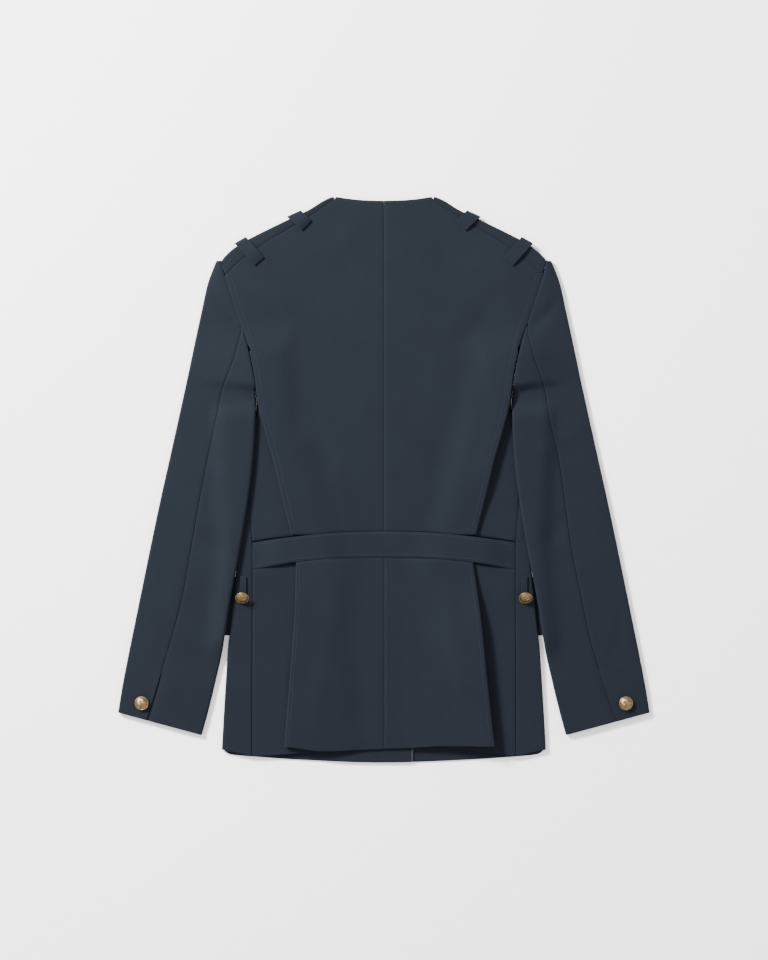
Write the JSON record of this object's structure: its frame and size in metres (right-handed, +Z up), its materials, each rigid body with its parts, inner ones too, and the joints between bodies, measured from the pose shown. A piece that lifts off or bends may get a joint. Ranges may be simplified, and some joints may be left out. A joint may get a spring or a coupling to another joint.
{
  "type": "military jacket",
  "caption": "Collarless hip-length military jacket laid flat on its front, with action pleats, an inset waistband, shoulder loops and domed metal buttons.",
  "frame": {"origin": "on the surface that the jacket lies on, under the middle of its outline", "axes": "+Z up from the surface, through the back; +Y from the hem to the neck; +X to the wearer's right"},
  "size_m": [0.6928, 0.7371, 0.0201],
  "materials": {
    "navy_wool": "matt navy wool twill",
    "pale_binding": "pale blue-grey binding",
    "antique_brass": "antique gold, worn bright on the high spots"
  },
  "bodies": {
    "root": {"back_left": "navy_wool", "back_right": "navy_wool", "button_cuff_left": "antique_brass", "button_cuff_right": "antique_brass", "button_side_left": "antique_brass", "button_side_right": "antique_brass", "button_tab_left": "navy_wool", "button_tab_right": "navy_wool", "edge_binding": "pale_binding", "flap_left": "navy_wool", "flap_right": "navy_wool", "front_left": "navy_wool", "front_right": "navy_wool", "loop_inner_left": "navy_wool", "loop_inner_right": "navy_wool", "loop_outer_left": "navy_wool", "loop_outer_right": "navy_wool", "side_back_left": "navy_wool", "side_back_right": "navy_wool", "skirt_back_left": "navy_wool", "skirt_back_right": "navy_wool", "skirt_side_left": "navy_wool", "skirt_side_right": "navy_wool", "top_sleeve_left": "navy_wool", "top_sleeve_right": "navy_wool", "under_sleeve_left": "navy_wool", "under_sleeve_right": "navy_wool", "waistband": "navy_wool"}
  },
  "joints": []
}
